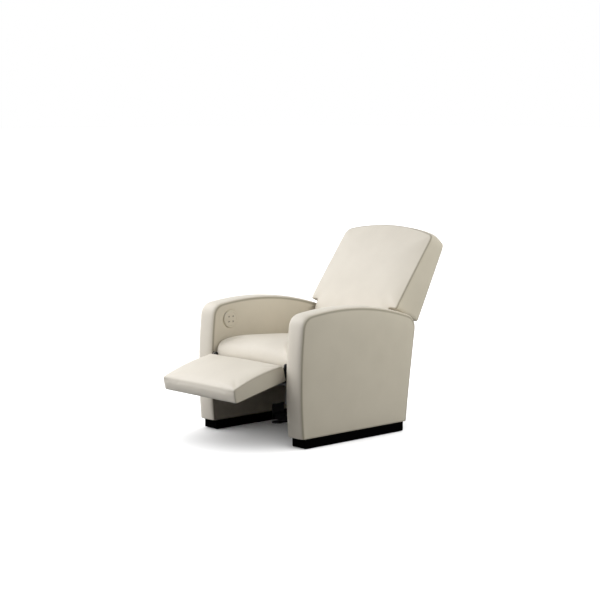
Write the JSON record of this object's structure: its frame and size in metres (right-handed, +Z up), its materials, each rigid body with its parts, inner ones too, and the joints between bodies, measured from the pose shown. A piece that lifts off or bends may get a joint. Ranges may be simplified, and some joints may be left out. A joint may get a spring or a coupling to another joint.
{
  "type": "recliner seat",
  "caption": "Powered cinema recliner with upholstered slab arms on plinths, a seat cushion, a legrest flap that folds down and a back that reclines.",
  "frame": {"origin": "centre of the four floor bolts, at floor level, midway between the arms", "axes": "+X towards the sitter's left, +Y towards the rear, +Z up"},
  "size_m": [0.78, 1.4332, 1.0323],
  "materials": {
    "cream_leather": "soft grained leather over foam",
    "rear_leather": "leather stretched over a board",
    "plinth_black": "matt black laminate",
    "black_steel": "black powder coat",
    "zinc_steel": "bright zinc plate",
    "spring_wire": "oiled spring steel",
    "plywood": "raw plywood",
    "nylon": "natural nylon",
    "aluminium": "anodised tube",
    "black_plastic": "moulded plastic",
    "black_webbing": "woven elastic strap",
    "cream_plastic": "moulded plastic in the leather's colour",
    "button_plastic": "moulded push button"
  },
  "bodies": {
    "base": {"left_arm_frame": "plywood", "right_arm_frame": "plywood", "left_arm_cover": "cream_leather", "right_arm_cover": "cream_leather", "left_plinth": "plinth_black", "right_plinth": "plinth_black", "floor_glides": "nylon", "plinth_screws": "zinc_steel", "front_base_rail": "black_steel", "rear_base_rail": "black_steel", "left_side_plate": "black_steel", "right_side_plate": "black_steel", "arm_bolts": "zinc_steel", "left_leg_bush": "nylon", "right_leg_bush": "nylon", "left_back_bush": "nylon", "right_back_bush": "nylon", "seat_frame": "black_steel", "seat_deck": "plywood", "seat_springs": "spring_wire", "spring_clips": "zinc_steel", "seat_cushion": "cream_leather", "rear_valance": "plinth_black", "legrest_actuator_bracket": "black_steel", "back_actuator_bracket": "black_steel", "actuator_pins": "zinc_steel", "control_box": "black_plastic", "power_inlet": "black_plastic", "control_housing": "cream_plastic", "control_face": "cream_plastic"},
    "legrest": {"legrest_board": "plywood", "legrest_pad": "cream_leather", "left_legrest_arm": "black_steel", "right_legrest_arm": "black_steel", "legrest_pivot_pins": "zinc_steel", "legrest_drive_bracket": "black_steel"},
    "back": {"back_frame": "black_steel", "back_webbing": "black_webbing", "back_cushion": "cream_leather", "back_rear_panel": "rear_leather", "left_hinge_plate": "black_steel", "right_hinge_plate": "black_steel", "back_pivot_pins": "zinc_steel", "back_drive_lever": "black_steel"},
    "legrest_drive": {"legrest_motor": "black_plastic", "legrest_actuator_tube": "aluminium"},
    "legrest_rod": {"legrest_actuator_rod": "zinc_steel", "legrest_rod_pin": "zinc_steel"},
    "back_drive": {"back_motor": "black_plastic", "back_actuator_tube": "aluminium"},
    "back_rod": {"back_actuator_rod": "zinc_steel", "back_rod_pin": "zinc_steel"},
    "button_front_upper": {"button_front_upper": "button_plastic"},
    "button_rear_upper": {"button_rear_upper": "button_plastic"},
    "button_front_lower": {"button_front_lower": "button_plastic"},
    "button_rear_lower": {"button_rear_lower": "button_plastic"}
  },
  "joints": [
    {"name": "legrest_hinge", "type": "hinge", "parent": "base", "child": "legrest", "pos_m": [0, -0.537, 0.399], "axis": [1, 0, 0], "range_deg": [0, 77]},
    {"name": "back_hinge", "type": "hinge", "parent": "base", "child": "back", "pos_m": [0, 0.06, 0.4], "axis": [1, 0, 0], "range_deg": [0, 22]},
    {"name": "legrest_actuator_pivot", "type": "hinge", "parent": "base", "child": "legrest_drive", "pos_m": [-0.09, -0.1, 0.23], "axis": [1, 0, 0], "range_deg": [-7.4, 0]},
    {"name": "legrest_actuator_stroke", "type": "slide", "parent": "legrest_drive", "child": "legrest_rod", "axis": [0, -0.9971, 0.0763], "range_m": [-0.179, 0]},
    {"name": "back_actuator_pivot", "type": "hinge", "parent": "base", "child": "back_drive", "pos_m": [0.09, -0.405, 0.29], "axis": [1, 0, 0], "range_deg": [0, 0.51]},
    {"name": "back_actuator_stroke", "type": "slide", "parent": "back_drive", "child": "back_rod", "axis": [0, 0.9963, -0.0856], "range_m": [0, 0.0575]},
    {"name": "button_front_upper_press", "type": "slide", "parent": "base", "child": "button_front_upper", "axis": [-1, 0, 0], "range_m": [0, 0.0015], "stiffness_N_per_m": 800, "springref_m": -0.001},
    {"name": "button_rear_upper_press", "type": "slide", "parent": "base", "child": "button_rear_upper", "axis": [-1, 0, 0], "range_m": [0, 0.0015], "stiffness_N_per_m": 800, "springref_m": -0.001},
    {"name": "button_front_lower_press", "type": "slide", "parent": "base", "child": "button_front_lower", "axis": [-1, 0, 0], "range_m": [0, 0.0015], "stiffness_N_per_m": 800, "springref_m": -0.001},
    {"name": "button_rear_lower_press", "type": "slide", "parent": "base", "child": "button_rear_lower", "axis": [-1, 0, 0], "range_m": [0, 0.0015], "stiffness_N_per_m": 800, "springref_m": -0.001}
  ],
  "couplings": [
    {"joint": "legrest_actuator_pivot", "follows": "legrest_hinge", "ratio": -0.094818},
    {"joint": "legrest_actuator_stroke", "follows": "legrest_hinge", "m_per_rad": -0.13287},
    {"joint": "back_actuator_pivot", "follows": "back_hinge", "ratio": 0.022877},
    {"joint": "back_actuator_stroke", "follows": "back_hinge", "m_per_rad": 0.14912}
  ]
}
